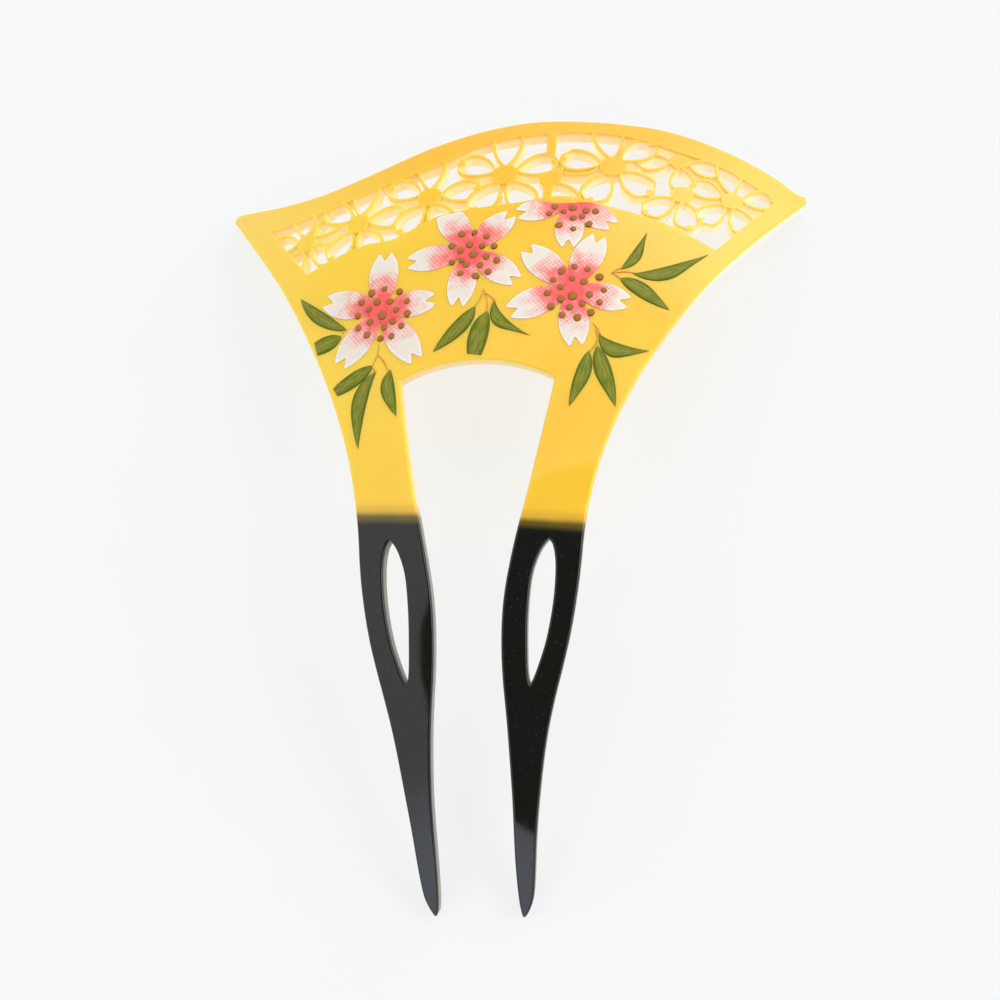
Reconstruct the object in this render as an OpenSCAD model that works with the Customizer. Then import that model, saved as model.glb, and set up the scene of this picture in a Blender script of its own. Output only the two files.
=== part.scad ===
// A two-legged plectrum-shaped hair ornament: one sheet of acrylic, domed to follow the head,
// with a pierced band of cherry blossoms and raised lacquer decoration on its front face.
// The sheet's own pattern is drawn flat, [across, up] from the crown of the dome, and each
// point is then laid on the dome. Every edge is cut square to the sheet, so it runs towards
// the dome's centre. The finished piece lies on its back, front face up, with the fan
// towards +Y and the legs towards -Y.

/* [Sheet] */
// Radius of the domed front face
dome_r = 110; // [105:1:130]
// Thickness of the sheet
sheet_t = 1.9; // [1.7:0.1:2.4]
// Height of the crown of the top edge above the dome's middle
crown_y = 63.2; // [62:0.1:64]
// Half the spread of the two wing tips
wing_x = 47.7; // [46.5:0.1:48.5]
// Height of the wing tips
wing_y = 49.3; // [48.5:0.1:50]
// Radius that rounds a wing tip
wing_r = 1.1; // [0.6:0.1:1.4]

/* [Legs] */
// Half the width of the gap where it meets the arch
gap_x = 11.7; // [11.2:0.1:12.2]
// Height of the corners of the gap
gap_y = 11.6; // [10.8:0.1:12]
// Height of the crown of the arch
arch_y = 14.5; // [13.4:0.1:14.8]
// Depth of the leg tips below the dome's middle
tip_y = 69.2; // [68.9:0.1:70]
// Extra width of the almond slot in each leg
slot_more = 0; // [-0.6:0.1:0.4]

/* [Openwork] */
// Reach of a pierced petal from the middle of its blossom
petal_l = 8.1; // [7.6:0.1:8.3]
// Reach of a petal that runs up into the rim
rising_l = 10.6; // [10:0.1:11]
// Bar left round each pierced petal
bar_w = 0.5; // [0.4:0.05:0.6]
// Depth of the notch in the end of a pierced petal
nick_d = 0.7; // [0.4:0.1:0.9]
// Radius of the solid middle of a blossom
heart_r = 2.1; // [1.8:0.1:2.3]

/* [Lacquer] */
// Height of the lacquer above the sheet
lacquer_t = 0.15; // [0.1:0.01:0.3]
// Film of clearance under the lacquer
film = 0.02; // [0.01:0.01:0.03]
// Width of a painted stem
stem_w = 0.4; // [0.3:0.05:0.5]
// Share added to the width of every painted petal
paint_more = 0; // [-0.1:0.02:0.06]

/* [Hidden] */
$fn = 96;

amber = [0.98, 0.79, 0.31];
blush = [1.0, 0.72, 0.72];
leaf_green = [0.45, 0.54, 0.18];

// Top edge from the right wing to the left one: [across, up]
top_edge = [[48.3, 50.2], [41, 55.1], [33, 59.2], [25, 61.9], [17, 62.9], [9, crown_y], [2, 62.8],
            [-6, 60.7], [-14, 57.4], [-22, 53.3], [-30, 50.3], [-37, 49.4], [-43, 49.8], [-47.7, 50.4]];

// Right-hand edge, from under the wing tip down the outside, round the leg's tip
// and up the inside to the corner of the gap: [across, up]
leg_edge = [[48.5, 48.6], [44.9, 44], [34.9, 31], [27.5, 19], [22.3, 8.5], [19, -1], [17.2, -10],
            [16.4, -19], [15, -28], [11.9, -41], [10, -54], [9.1, -63.5], [8.5, -67], [7.2, -tip_y],
            [6.5, -67.6], [6.2, -61], [6.2, -51], [5.8, -41], [5.1, -31], [5.3, -22.5], [6.7, -14],
            [8.7, -5], [10.4, 4], [gap_x, gap_y]];

// Right-hand almond slot, from its foot up the outside and back down the inside: [across, up]
slot_edge = [[9.3, -34.3], [10.1, -32.6], [11.6, -28], [12.6, -22.5], [12.9, -17.5], [12.6, -14.6],
             [12, -13.3], [11.5, -13.6], [10.5, -15.3], [9.5, -18.5], [9, -23.5], [8.9, -28.5],
             [9, -32.6], [9.3, -34.3]];

// Upper and lower borders of the pierced band: [across, up]
band_top = [[43.6, 47.7], [36, 53.2], [28, 56.3], [20, 59.1], [12, 60], [4, 59.4], [-4, 57.4],
            [-12, 52.6], [-20, 49.4], [-28, 46.2], [-34, 44.6], [-39.5, 43.7]];
band_foot = [[-30.3, 32.6], [-22, 36.6], [-16, 37.4], [-10, 41], [-3.5, 42.5], [3, 43.4],
             [10, 44.8], [17.3, 42.9], [22.4, 41.5], [28, 39.3], [34.5, 35.7]];

// Pierced blossoms, the lowest in the overlap first: [across, up, directions of the petals, size]
pierced = [[-31.7, 39.4, [43, 107, 173, 250, -39], 0.86],
           [-22.9, 41.7, [7, 89, 146, 243, -59], 0.92],
           [7.7, 49.3, [30, -60], 0.95],
           [-11.4, 45.7, [9, 97, 156, 241, -62], 0.96],
           [27.9, 54.2, [-172, -82, -13], 0.8],
           [28.7, 46.6, [-141, -77], 0.86],
           [0.3, 49.8, [22, 94, 156, 243, -57], 1.03],
           [17.4, 52, [169, 101, 47, -42, -110], 1.03],
           [36.6, 46.5, [14, 96, 156, 227, -68], 0.84]];
// Half a pierced petal, from petal_r0 to petal_l out from the middle: [share of the length, half width]
petal_r0 = 2.1;
petal_form = [[0, 0.05], [0.12, 0.8], [0.3, 1.5], [0.48, 1.9], [0.66, 2.05], [0.84, 1.85], [0.95, 1.25],
              [1, 0.7]];
// Upright bar of the half-hidden blossom: [across, up] at its two ends, then its width
hidden_bar = [[6.7, 61], [7.9, 42], 1.5];
// Holes narrower than twice this are left closed
sliver = 0.12;

// Painted blossoms: [across, up, rows of [direction, length, width] of the petals]
painted_left = [-16.1, 23.8, [[94, 10.9, 4.7], [9, 8.7, 4.6], [-54, 11.4, 4.6], [-122, 10.8, 4.8],
                              [164, 10.3, 5]]];
painted_middle = [-3.2, 33.9, [[121, 10.5, 4.7], [51, 9.2, 4.6], [-37, 10.1, 4.5], [-94.5, 10.4, 4.4],
                               [190, 10, 4.7]]];
painted_right = [13.1, 26.6, [[135, 10.7, 4.9], [71, 10.8, 4.8], [-13.5, 9.2, 4.6], [-82, 10.1, 4.5],
                              [205, 10.2, 5]]];
painted_top = [11.8, 43.5, [[197, 8.9, 4.6], [-89, 9.3, 4.4], [-35, 8.4, 4.4]]];
// Half a painted petal from its root to its teeth: [share of the length, share of half the width]
paint_form = [[0.02, 0.14], [0.15, 0.46], [0.32, 0.8], [0.5, 0.98], [0.65, 1], [0.8, 0.86],
              [0.92, 0.62], [1, 0.4]];
// Depth of the notch between the teeth and the radius of a painted blossom's middle
notch_d = 1.8;
paint_heart_r = 1.5;

// Leaves: [root, tip, bulge to the left of root-to-tip, bulge to the right, share of the length kept]
spray_left_side = [[[-21.3, 20.9], [-30.4, 27.9], 1.9, 0.2, 1],
                   [[-22.1, 19.8], [-28.4, 17.4], 1.4, 1.3, 0.66]];
spray_left_low = [[[-16.3, 14.3], [-23.7, 9.4], 1.3, 1, 0.78], [[-15.6, 13.3], [-17.5, 0.9], -0.3, 2.6, 1],
                  [[-13.4, 13.4], [-11.8, 5.7], 0.3, 1.8, 1]];
spray_middle = [[[-1.2, 23.5], [-7, 15.9], 1.6, 0.7, 1], [[0.8, 22.6], [-0.7, 12.6], 1, 1.8, 0.74],
                [[1.7, 24.7], [7.7, 18.3], -0.8, 2.7, 1]];
spray_right_up = [[[20.2, 30.4], [23.8, 37.9], 0, 1.6, 1], [[22.1, 29.8], [33.4, 34.6], -0.35, 2.65, 1],
                  [[20.2, 28.8], [28, 23.6], 1.5, 0.9, 1]];
spray_right_low = [[[17.7, 18.9], [25.3, 16.4], -0.5, 2.9, 1], [[17.6, 16.8], [20.8, 7], 1, 1.4, 1],
                   [[16.4, 15.9], [14, 6.8], 1.4, 0.7, 1]];
// Stems that join the leaves of a spray: [from, to]
stems_left_side = [[[-21.8, 21.1], [-22.4, 19.6]]];
stems_left_low = [[[-15.7, 17.6], [-16.4, 14]], [[-16.4, 14], [-15.7, 13]], [[-15.8, 16.2], [-13.6, 13]]];
stems_middle = [[[-0.2, 26.6], [-1.3, 23.2]], [[-0.2, 26.6], [0.7, 22.3]], [[0.1, 25.8], [1.8, 24.3]]];
stems_right_up = [[[18.9, 29.6], [20.6, 30.8]], [[18.9, 29.6], [22.7, 29.9]], [[18.9, 29.6], [20.6, 28.4]]];
stems_right_low = [[[16.7, 20.6], [18, 18.7]], [[17.2, 19.6], [17.6, 16.5]], [[17.5, 17.6], [16.4, 15.5]]];
// Line that cuts the top blossom off straight, and the room left along the pierced band
top_cut_y = 43.4;
band_room = 0.3;

// Level above the dome's centre, below the whole sheet, at which the sheet's cuts are drawn
base_z = 84;

// Point of the flat pattern laid on the dome, seen from straight above
function on_dome(p) = let (r = norm(p), a = r / dome_r * 180 / PI) r < 0.001 ? p : p * dome_r * sin(a) / r;
// Point of the flat pattern carried towards the dome's centre, down to base_z
function on_base(p) = let (r = norm(p), a = r / dome_r * 180 / PI) r < 0.001 ? p : p * base_z * tan(a) / r;
function along(c, a, r) = [c[0] + r * cos(a), c[1] + r * sin(a)];
function arc(c, r, a0, a1, n) = [for (i = [0:n]) along(c, a0 + (a1 - a0) * i / n, r)];
function last_of(t) = t[len(t) - 1];
function row(t, i) = t[max(0, min(len(t) - 1, i))];
// Smooth curve through the rows of a table, n steps to a span
function curve_point(a, b, c, d, u) =
    0.5 * (2 * b + (c - a) * u + (2 * a - 5 * b + 4 * c - d) * u * u + (3 * b - a - 3 * c + d) * u * u * u);
function curve(t, n) = concat(
    [for (i = [0:len(t) - 2], k = [0:n - 1])
        curve_point(row(t, i - 1), t[i], t[i + 1], row(t, i + 2), k / n)],
    [last_of(t)]);
// Length of a pierced petal that points at angle a
function reach_at(a) = a > 84 && a < 112 ? rising_l : petal_l;
function mirrored(t) = [for (p = t) [-p[0], p[1]]];
function backwards(t) = [for (i = [len(t) - 1:-1:0]) t[i]];
// One side (-1 right, 1 left) of a petal at c pointing at angle a, from radius r0 to r1
function petal_side(c, a, r0, r1, form, half_w, side) =
    [for (f = form) along(along(c, a, r0 + (r1 - r0) * f[0]), a + 90, side * half_w * f[1])];

arch_rise = arch_y - gap_y;
arch_r = (gap_x * gap_x + arch_rise * arch_rise) / (2 * arch_rise);
arch_half = asin(gap_x / arch_r);
wing_right = arc([wing_x, wing_y], wing_r, -39, 54, 4);
wing_left = arc([-wing_x, wing_y], wing_r, 97, 219, 4);
arch = arc([0, arch_y - arch_r], arch_r, 90 + arch_half, 90 - arch_half, 8);
leg_curve = curve(leg_edge, 3);
outline = concat(wing_right, curve(top_edge, 3), wing_left, mirrored(leg_curve), arch,
                 backwards(leg_curve));
plan = [for (p = outline) on_dome(p)];
band_line = concat(curve(band_top, 3), curve(band_foot, 3));

// The lowest points are the back corners of the wing and leg tips
reach = max([for (p = outline) norm(p)]);
floor_z = (dome_r - sheet_t) * cos(reach / dome_r * 180 / PI);
middle_y = (max([for (p = plan) p[1]]) + min([for (p = plan) p[1]])) / 2;

// Keeps what lies between two heights above the dome's front face, and stands it on the floor
module shell(low, high) {
    translate([0, -middle_y, -floor_z])
    intersection() {
        children();
        difference() {
            sphere(r = dome_r + high);
            sphere(r = dome_r + low);
        }
    }
}

// The region drawn at base_z, spread out along the rays from the dome's centre
module rays() {
    top_z = dome_r + 2;
    translate([0, 0, base_z])
    linear_extrude(height = top_z - base_z, scale = top_z / base_z) children();
}

module cut_line(line) {
    polygon([for (p = line) on_base(p)]);
}

// Leaf from p to q with its bulges to the left and right of that line, cut off square at a
// share of its length
module leaf(p, q, left, right, share) {
    steps = 8;
    last = share < 1 ? steps : steps - 1;
    u = (q - p) / norm(q - p);
    n = [-u[1], u[0]];
    out = [for (i = [0:steps]) let (t = i / steps * share) p + (q - p) * t - n * right * 4 * t * (1 - t)];
    back = [for (i = [last:-1:1]) let (t = i / steps * share) p + (q - p) * t + n * left * 4 * t * (1 - t)];
    polygon([for (c = concat(out, back)) on_dome(c)]);
}

// Thin bar between two points of the pattern
function bar_line(p, q, w) =
    let (u = (q - p) / norm(q - p), n = [-u[1], u[0]] * w / 2)
    [p - n, q - n, q + n, p + n];

module bar(p, q, w) {
    polygon([for (c = bar_line(p, q, w)) on_dome(c)]);
}

// Almond slot cut right through a leg
module slot() {
    middle_x = 10.75;
    wide = [for (p = slot_edge) [p[0] + slot_more * (p[0] > middle_x ? 0.5 : -0.5), p[1]]];
    cut_line(curve(wide, 3));
}

// One blossom of the openwork as solid petals, before they are pierced
module pierced_full(f) {
    c = [f[0], f[1]];
    k = f[3];
    cut_line(arc(c, heart_r * k, 0, 340, 17));
    for (a = f[2]) {
        right = petal_side(c, a, petal_r0 * k, reach_at(a) * k, petal_form, k, -1);
        left = petal_side(c, a, petal_r0 * k, reach_at(a) * k, petal_form, k, 1);
        cut_line(concat([for (p = right) along(p, a - 90, bar_w)],
                        [for (p = [last_of(right), last_of(left)]) along(p, a, bar_w)],
                        backwards([for (p = left) along(p, a + 90, bar_w)])));
    }
}

module pierced_holes(f) {
    c = [f[0], f[1]];
    k = f[3];
    for (a = f[2])
        cut_line(concat(petal_side(c, a, petal_r0 * k, reach_at(a) * k, petal_form, k, -1),
                        [along(c, a, (reach_at(a) - nick_d) * k)],
                        backwards(petal_side(c, a, petal_r0 * k, reach_at(a) * k, petal_form, k, 1))));
}

// All that is cut out of the band: the gaps between the blossoms, and each petal not overlapped by another
module openwork() {
    last = len(pierced) - 1;
    offset(delta = sliver)
    offset(delta = -sliver)
    intersection() {
        cut_line(band_line);
        union() {
            difference() {
                cut_line(band_line);
                for (f = pierced) pierced_full(f);
                cut_line(bar_line(hidden_bar[0], hidden_bar[1], hidden_bar[2]));
            }
            for (i = [0:last])
                difference() {
                    pierced_holes(pierced[i]);
                    for (k = [i + 1:1:last]) pierced_full(pierced[k]);
                }
        }
    }
}

// Five notched petals round a small middle
module painted(f) {
    c = [f[0], f[1]];
    translate(on_dome(c)) circle(r = paint_heart_r);
    for (petal = f[2]) {
        a = petal[0];
        l = petal[1];
        half_w = petal[2] * (1 + paint_more) / 2;
        right = curve(petal_side(c, a, 0, l, paint_form, half_w, -1), 2);
        left = curve(petal_side(c, a, 0, l, paint_form, half_w, 1), 2);
        polygon([for (p = concat(right, [along(c, a, l - notch_d)], backwards(left))) on_dome(p)]);
    }
}

module spray(leaves, stems) {
    for (l = leaves) leaf(l[0], l[1], l[2], l[3], l[4]);
    for (s = stems) bar(s[0], s[1], stem_w);
}

module lacquer() {
    shell(film, film + lacquer_t)
    linear_extrude(height = dome_r + 2) children();
}

module sheet() {
    color(amber)
    shell(-sheet_t, 0)
    rays()
    difference() {
        cut_line(outline);
        slot();
        mirror([1, 0]) slot();
        openwork();
    }
}

module blossom_left() {
    color(blush) lacquer() painted(painted_left);
}

module blossom_middle() {
    color(blush) lacquer()
    difference() {
        painted(painted_middle);
        polygon([for (p = band_line) on_dome(p + [0, -band_room])]);
    }
}

module blossom_right() {
    color(blush) lacquer() painted(painted_right);
}

module blossom_top() {
    color(blush) lacquer()
    intersection() {
        painted(painted_top);
        bar([-10, top_cut_y - 15], [30, top_cut_y - 15], 30);
    }
}

module leaves_left_side() {
    color(leaf_green) lacquer() spray(spray_left_side, stems_left_side);
}

module leaves_left_low() {
    color(leaf_green) lacquer() spray(spray_left_low, stems_left_low);
}

module leaves_middle() {
    color(leaf_green) lacquer() spray(spray_middle, stems_middle);
}

module leaves_right_up() {
    color(leaf_green) lacquer() spray(spray_right_up, stems_right_up);
}

module leaves_right_low() {
    color(leaf_green) lacquer() spray(spray_right_low, stems_right_low);
}

sheet();
blossom_left();
blossom_middle();
blossom_right();
blossom_top();
leaves_left_side();
leaves_left_low();
leaves_middle();
leaves_right_up();
leaves_right_low();
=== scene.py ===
"""Looks of a kanzashi: a domed sheet of amber acrylic with a pierced band, legs dipped in black dye,
and blossoms and leaves of raised lacquer. All of it is drawn flat, [across, up] in millimetres from
the crown of the dome, as the CAD source is, and then laid on the dome."""
import math

import bpy
import numpy as np
from mathutils import Matrix, Vector
from mathutils.geometry import delaunay_2d_cdt


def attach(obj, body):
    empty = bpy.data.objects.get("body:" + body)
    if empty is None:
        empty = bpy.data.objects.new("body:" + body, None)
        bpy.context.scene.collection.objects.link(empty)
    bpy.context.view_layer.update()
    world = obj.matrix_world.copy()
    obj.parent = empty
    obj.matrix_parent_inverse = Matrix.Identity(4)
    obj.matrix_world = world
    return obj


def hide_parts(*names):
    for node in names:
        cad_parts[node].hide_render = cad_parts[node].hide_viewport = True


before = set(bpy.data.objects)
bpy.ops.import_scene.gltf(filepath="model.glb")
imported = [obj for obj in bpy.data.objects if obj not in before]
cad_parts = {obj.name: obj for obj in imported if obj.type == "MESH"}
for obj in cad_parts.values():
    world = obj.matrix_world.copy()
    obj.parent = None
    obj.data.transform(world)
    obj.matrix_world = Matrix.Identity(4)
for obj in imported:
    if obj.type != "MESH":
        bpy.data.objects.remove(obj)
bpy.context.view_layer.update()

MM = 0.001

# Sheet, in mm: radii of its rounded edges, steps round its loops, and pitch of its faces' grid
FRONT_ROUND = 0.38
BACK_ROUND = 0.15
PIERCED_ROUND = 0.08
RIM_STEP = 0.8
PIERCED_STEP = 0.3
FACE_GRID = 2.6
# Holes that lie above this are the openwork
PIERCED_FOOT = 25
# A CAD face whose normal rises by more than this is part of a front face
FRONT_NORMAL = 0.7
# Turns of more than this are kept as sharp corners, in degrees
CORNER = 42
# Room beside a sharp corner that keeps its shading to itself
CORNER_HUG = 0.12
# Share of the room beside an edge that its rounding may take, and how fast its radius may change
ROOM_SHARE = 0.6
RADIUS_SLOPE = 0.5
# Room where nothing lies ahead, and how many points are measured at one time
FREE_ROOM = 99
ROOM_CHUNK = 400
# How straight a loop runs at a point, from 0 to 1: below the first it folds back, and below the
# second its mitre grows no longer
FOLD_BACK = 0.05
MITRE_LIMIT = 0.62
# Height of a row of a triangular grid and its clearance to the rim, as shares of the pitch
GRID_ROW = 0.87
GRID_CLEARANCE = 0.45
# Vertices closer than this are welded, in mm
WELD = 0.002

# Lacquer, in mm: its thickness, the clearance under it, and the radius of its rounded edge
LACQUER_T = 0.11
LACQUER_FILM = 0.02
LACQUER_ROUND = 0.06
# Share of that radius at the back, and steps round the edge
LACQUER_BACK_SHARE = 0.1
LACQUER_ARC_STEPS = 3
# Petals: steps round a patch, pitch of its grid, and how far from the rim its white ends
PETAL_STEP = 0.3
PETAL_GRID = 0.35
WHITE_RIM = 0.45
# Even steps round a petal patch, and how often they are averaged to round its teeth
TOOTH_STEP = 0.2
TOOTH_PASSES = 3

# Painted blossoms: node, [across, up], then the stamens' heads [across, up] from there
BLOSSOMS = {
    "blossom_left": ([-16.1, 23.8], [
        [0.4, -1.0], [-0.8, 1.5], [1.3, 1.4], [-2.0, 0.3], [2.5, -0.2], [-1.5, -2.0], [2.2, -2.2],
        [0.9, -3.1], [0.1, 3.8], [-3.7, -0.6], [-3.4, 1.7], [-1.9, 3.3], [2.6, 3.1], [4.1, 1.2],
        [-3.3, -2.9], [4.4, -1.0], [-1.7, -4.2], [3.7, -3.1], [0.5, -5.0], [2.3, -4.8]]),
    "blossom_middle": ([-3.2, 33.9], [
        [0.7, -0.9], [-0.1, 1.0], [-1.4, -0.1], [1.9, 0.7], [-1.0, -2.0], [-0.2, -2.8], [-2.9, 0.9],
        [2.8, -1.4], [-2.5, -2.2], [0.4, 3.4], [2.4, 2.5], [-1.6, 3.2], [2.0, -3.0], [3.8, 0.6],
        [-0.9, -4.4], [4.5, -2.2], [1.5, -5.0], [3.4, -4.3]]),
    "blossom_right": ([13.1, 26.6], [
        [0.3, -1.4], [-1.6, 0.1], [0, 1.7], [1.8, 1.2], [-1.4, -2.0], [2.8, -1.1], [-2.8, 1.4],
        [1.8, -2.8], [0, -3.4], [-1.7, 3.0], [-3.5, -1.0], [0.2, 3.9], [2.2, 3.5], [-2.8, -3.3],
        [4.1, 2.2], [-1.0, -4.8], [4.9, -0.2], [4.4, -2.4], [3.2, -4.2], [1.3, -5.2]]),
    "blossom_top": ([11.8, 43.5], [
        [0.2, -1.4], [-1.1, -2.2], [-2.6, -1.2], [2.3, -1.9], [0.5, -3.5], [1.8, -3.2], [-3.3, -2.7],
        [3.8, -2.0], [-1.6, -5.0], [3.0, -4.6], [0.7, -5.7]]),
}
# The first head of each blossom stands in its middle and is the largest
HEAD_R = 0.53
MIDDLE_HEAD_R = 0.68
# A head 1 mm wide: its sides, the height of its foot, and the steps of its top, [inset, rise]
HEAD_SIDES = 14
HEAD_FOOT = 0.14
HEAD_TOP = ((0.05, 0.1), (0.1, 0.09), (0.14, 0.05), (0.12, 0.01))
# A head's length for its width
HEAD_LENGTH = 1.14

# Leaves: node, then rows of [root, tip, bulge to the left, bulge to the right, share of the length
# kept], and its stems [from, to], as in the CAD source. A leaf's last value, which the CAD source
# doesn't have, is how far it narrows to a tail: at its tip, or at its root where it is below 0
SPRAYS = {
    "leaves_left_side": (
        [[[-21.3, 20.9], [-30.4, 27.9], 1.9, 0.2, 1, -0.15],
         [[-22.1, 19.8], [-28.4, 17.4], 1.4, 1.3, 0.66, 0]],
        [[[-21.8, 21.1], [-22.4, 19.6]]]),
    "leaves_left_low": (
        [[[-16.3, 14.3], [-23.7, 9.4], 1.3, 1, 0.78, 0],
         [[-15.6, 13.3], [-17.5, 0.9], -0.3, 2.6, 1, 0.25],
         [[-13.4, 13.4], [-11.8, 5.7], 0.3, 1.8, 1, 0.2]],
        [[[-15.7, 17.6], [-16.4, 14]], [[-16.4, 14], [-15.7, 13]], [[-15.8, 16.2], [-13.6, 13]]]),
    "leaves_middle": (
        [[[-1.2, 23.5], [-7, 15.9], 1.6, 0.7, 1, 0.1],
         [[0.8, 22.6], [-0.7, 12.6], 1, 1.8, 0.74, 0],
         [[1.7, 24.7], [7.7, 18.3], -0.8, 2.7, 1, 0.6]],
        [[[-0.2, 26.6], [-1.3, 23.2]], [[-0.2, 26.6], [0.7, 22.3]], [[0.1, 25.8], [1.8, 24.3]]]),
    "leaves_right_up": (
        [[[20.2, 30.4], [23.8, 37.9], 0, 1.6, 1, 0.45],
         [[22.1, 29.8], [33.4, 34.6], -0.35, 2.65, 1, 0.5],
         [[20.2, 28.8], [28, 23.6], 1.5, 0.9, 1, 0.2]],
        [[[18.9, 29.6], [20.6, 30.8]], [[18.9, 29.6], [22.7, 29.9]], [[18.9, 29.6], [20.6, 28.4]]]),
    "leaves_right_low": (
        [[[17.7, 18.9], [25.3, 16.4], -0.5, 2.9, 1, 0.4],
         [[17.6, 16.8], [20.8, 7], 1, 1.4, 1, 0.2],
         [[16.4, 15.9], [14, 6.8], 1.4, 0.7, 1, 0.2]],
        [[[16.7, 20.6], [18, 18.7]], [[17.2, 19.6], [17.6, 16.5]], [[17.5, 17.6], [16.4, 15.5]]]),
}
# A leaf's grid along and across, and the width of its rounded edge in mm
LEAF_ALONG = 40
LEAF_ACROSS = 14
LEAF_ROUND = 0.3
# Length of leaf to one unit of its brushed pattern, in mm
LEAF_PATTERN = 4
# Turns of more than this are shaded as sharp edges, in degrees
LEAF_SHARP = 60
# Share by which a leaf is fuller near its root
ROOT_SWELL = 0.8
# Where a leaf's tail starts, and over how much of its length it narrows
TAIL_FROM = 0.35
TAIL_LENGTH = 0.55
# Stems, in mm: their radius and the height of their axis over the sheet
STEM_R = 0.1
STEM_LIFT = 0.04
STEM_WELD = 0.001
# Share of its length by which a stem bows, and of its radius at its start, middle and end
STEM_BOW = 0.06
STEM_SIZES = (0.6, 1, 0.8)

# Camera: where it aims and from how far, its angles in degrees, and its lens and sensor in mm
CAMERA_AIM = Vector((1.75, -1.16, 10)) * MM
CAMERA_DISTANCE = 472.7 * MM
CAMERA_AZIMUTH = 35.8
CAMERA_ELEVATION = 68.9
CAMERA_ROLL = -34.8
CAMERA_LENS = 114.3
CAMERA_SENSOR = 36
# Nearest and furthest distance that the camera sees, in metres
CAMERA_CLIP = (0.01, 20)


# Reading the dome and the outlines from the frame

def front_faces(node):
    """Front faces of a CAD node as rows of place numbers, and those places in mm, doubles merged."""
    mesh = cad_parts[node].data
    numbers = {}
    places = []
    merged = []
    for vertex in mesh.vertices:
        place = vertex.co / MM
        key = tuple(round(c, 3) for c in place)
        if key not in numbers:
            numbers[key] = len(places)
            places.append(place)
        merged.append(numbers[key])
    faces = [[merged[i] for i in face.vertices] for face in mesh.polygons if face.normal.z > FRONT_NORMAL]
    return faces, places


def fit_dome():
    """Middle and radius of the sphere that the sheet's front face lies on, in mm."""
    faces, places = front_faces("sheet")
    front = np.array([places[i] for i in sorted({i for face in faces for i in face})])
    rows = np.column_stack([2 * front, np.ones(len(front))])
    solved = np.linalg.lstsq(rows, (front ** 2).sum(axis=1), rcond=None)[0]
    middle = Vector(solved[:3])
    return middle, math.sqrt(solved[3] + middle.length_squared)


DOME_MIDDLE, DOME_R = fit_dome()
SHEET_T = DOME_R - min((v.co / MM - DOME_MIDDLE).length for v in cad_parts["sheet"].data.vertices)


def flattened(place):
    """The point of the flat pattern that a place on the dome came from."""
    away = (place - DOME_MIDDLE).normalized()
    angle = math.acos(away.z)
    return away.xy.normalized() * DOME_R * angle


def drawn_loops(node):
    """Closed loops of flat points round a CAD node's front face, each with the material on its left."""
    faces, places = front_faces(node)
    # A dict keeps the edges in the order in which they are found
    edges = {(a, b): True for face in faces for a, b in zip(face, face[1:] + face[:1])}
    after = {a: b for a, b in edges if (b, a) not in edges}
    loops = []
    while after:
        first, here = after.popitem()
        loop = [first]
        while here != first:
            loop.append(here)
            here = after.pop(here)
        loops.append(np.array([flattened(places[i]) for i in loop]))
    return loops


def thinned(points, tolerance=0.012):
    """The points of an open run without those that lie along a straight line between the rest."""
    if len(points) < 3:
        return [points[0]]
    run = points[-1] - points[0]
    away = points - points[0]
    if np.hypot(*run) < 1e-9:
        offsets = np.hypot(away[:, 0], away[:, 1])
    else:
        offsets = abs(away[:, 0] * run[1] - away[:, 1] * run[0]) / np.hypot(*run)
    far = int(offsets.argmax())
    if offsets[far] < tolerance:
        return [points[0]]
    return thinned(points[:far + 1], tolerance) + thinned(points[far:], tolerance)


def unit(v):
    return v / max(np.hypot(*v), 1e-12)


def smoothed(loop, step):
    """Evenly spaced points on a smooth curve through a drawn loop, which keeps its sharp corners."""
    start = int(np.hypot(*(loop - loop.mean(axis=0)).T).argmax())
    loop = np.roll(loop, -start, axis=0)
    points = np.array(thinned(np.vstack([loop, loop[:1]])))
    count = len(points)
    chords = np.roll(points, -1, axis=0) - points
    lengths = np.hypot(chords[:, 0], chords[:, 1])
    ways = chords / lengths[:, None]
    turns = [math.degrees(math.acos(max(-1, min(1, float(ways[i - 1] @ ways[i]))))) for i in range(count)]
    sharp = [turn > CORNER for turn in turns]
    tangents = [unit(ways[i - 1] * lengths[i] + ways[i] * lengths[i - 1]) for i in range(count)]
    out = []
    for i in range(count):
        k = (i + 1) % count
        way, length = ways[i], lengths[i]
        leave, arrive = tangents[i], tangents[k]
        if sharp[i] and sharp[k]:
            leave = arrive = way
        elif sharp[i]:
            leave = unit(2 * (way @ arrive) * way - arrive)
        elif sharp[k]:
            arrive = unit(2 * (way @ leave) * way - leave)
        parts = max(1, round(length / step))
        shares = [j / parts for j in range(parts)]
        hug = CORNER_HUG / length
        if 2 * hug < 1 / parts:
            shares += [hug] * sharp[i] + [1 - hug] * sharp[k]
        for t in sorted(shares):
            a = 2 * t ** 3 - 3 * t ** 2 + 1
            b = t ** 3 - 2 * t ** 2 + t
            c = 3 * t ** 2 - 2 * t ** 3
            d = t ** 3 - t ** 2
            out.append(a * points[i] + b * length * leave + c * points[k] + d * length * arrive)
    return np.array(out)


def softened(loop, step, passes):
    """A closed loop with even steps, its corners rounded off a little by averaging neighbours."""
    closed = np.vstack([loop, loop[:1]])
    run = np.concatenate([[0], np.cumsum(np.hypot(*np.diff(closed, axis=0).T))])
    stops = np.linspace(0, run[-1], max(8, round(run[-1] / step)), endpoint=False)
    even = np.column_stack([np.interp(stops, run, closed[:, 0]), np.interp(stops, run, closed[:, 1])])
    for _ in range(passes):
        even = (np.roll(even, 1, axis=0) + 2 * even + np.roll(even, -1, axis=0)) / 4
    return even


# Selecting and joining pieces

def only(piece):
    """Selects one piece and makes it active."""
    bpy.ops.object.select_all(action="DESELECT")
    piece.select_set(True)
    bpy.context.view_layer.objects.active = piece


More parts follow.
